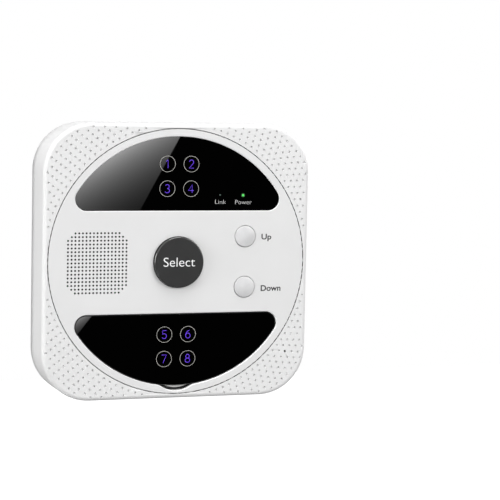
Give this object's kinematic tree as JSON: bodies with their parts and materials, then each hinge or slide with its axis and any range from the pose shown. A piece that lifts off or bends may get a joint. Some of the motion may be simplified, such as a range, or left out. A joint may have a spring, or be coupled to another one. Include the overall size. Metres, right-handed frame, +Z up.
{
  "type": "irrigation controller",
  "caption": "Square wall-mounted sprinkler controller with a round faceplate, black display window, hinged terminal door, push buttons and speaker grille",
  "frame": {"origin": "centre of the flat rear face that rests on the wall", "axes": "+Z up, +Y into the wall, +X to the right of someone facing the front"},
  "size_m": [0.161, 0.0425, 0.161],
  "materials": {
    "casing": "fine satin moulding, dimpled corners",
    "face": "fine satin moulding",
    "pearl": "pearl white",
    "smoked_panel": "polished black acrylic",
    "inner_plastic": "light grey moulding",
    "charcoal": "satin charcoal",
    "rubber": "matte",
    "foam": "open cell foam",
    "steel": "zinc plated",
    "brass": "tin plated brass",
    "magnet": "nickel plated",
    "paper_cone": "coated paper",
    "black_plastic": "moulded",
    "ferrite": "ferrite",
    "varistor": "epoxy dipped",
    "board": "solder mask",
    "lamp": "clear epoxy",
    "light_pipe": "clear acrylic",
    "fuse_glass": "clear glass",
    "capacitor": "sleeved can",
    "terminal_green": "moulded polyamide"
  },
  "bodies": {
    "housing": {"front_shell": "casing", "back_cover": "casing", "cover_screws": "steel", "cable_grommets": "rubber", "faceplate": "face", "faceplate_screws": "steel", "speaker_grille": "face", "display_window": "smoked_panel", "catch_magnets": "magnet", "button_switches": "black_plastic", "select_spring": "steel", "reset_switch": "black_plastic", "front_board": "board", "front_board_screws": "steel", "display_light_guide": "inner_plastic", "door_light_guide": "inner_plastic", "zone_leds": "lamp", "status_leds": "lamp", "status_light_pipes": "light_pipe", "speaker_frame": "steel", "speaker_magnet": "magnet", "speaker_cone": "paper_cone", "speaker_gasket": "foam", "main_board": "board", "board_screws": "steel", "terminal_block_left": "terminal_green", "terminal_block_right": "terminal_green", "terminal_clamps": "brass", "terminal_screws": "steel", "zone_triacs": "black_plastic", "surge_discs": "varistor", "bridge_rectifier": "black_plastic", "filter_capacitors": "capacitor", "power_inductor": "ferrite", "fuse": "fuse_glass", "fuse_clips": "brass", "battery_holder": "black_plastic", "coin_cell": "steel", "processor": "black_plastic", "driver_chips": "black_plastic", "radio_board": "board", "radio_shield": "steel", "link_header": "black_plastic", "wiring_tray": "black_plastic", "tray_screws": "steel"},
    "terminal_door": {"door_panel": "smoked_panel", "door_carrier": "inner_plastic", "hinge_pins": "steel", "door_magnets": "magnet"},
    "select_key": {"select_button": "charcoal", "select_plunger": "black_plastic"},
    "up_key": {"up_button": "pearl", "up_plunger": "black_plastic"},
    "down_key": {"down_button": "pearl", "down_plunger": "black_plastic"},
    "reset_key": {"reset_rod": "black_plastic", "reset_plunger": "black_plastic"}
  },
  "joints": [
    {"name": "door_hinge", "type": "hinge", "parent": "housing", "child": "terminal_door", "pos_m": [0, -0.03815, -0.0373], "axis": [-1, 0, 0], "range_deg": [0, 90]},
    {"name": "select_press", "type": "slide", "parent": "housing", "child": "select_key", "axis": [0, 1, 0], "range_m": [0, 0.0006], "stiffness_N_per_m": 1500, "deforming": ["select_spring"]},
    {"name": "up_press", "type": "slide", "parent": "housing", "child": "up_key", "axis": [0, 1, 0], "range_m": [0, 0.0005], "stiffness_N_per_m": 1200},
    {"name": "down_press", "type": "slide", "parent": "housing", "child": "down_key", "axis": [0, 1, 0], "range_m": [0, 0.0005], "stiffness_N_per_m": 1200},
    {"name": "reset_press", "type": "slide", "parent": "housing", "child": "reset_key", "axis": [0, 1, 0], "range_m": [0, 0.0004], "stiffness_N_per_m": 800}
  ]
}
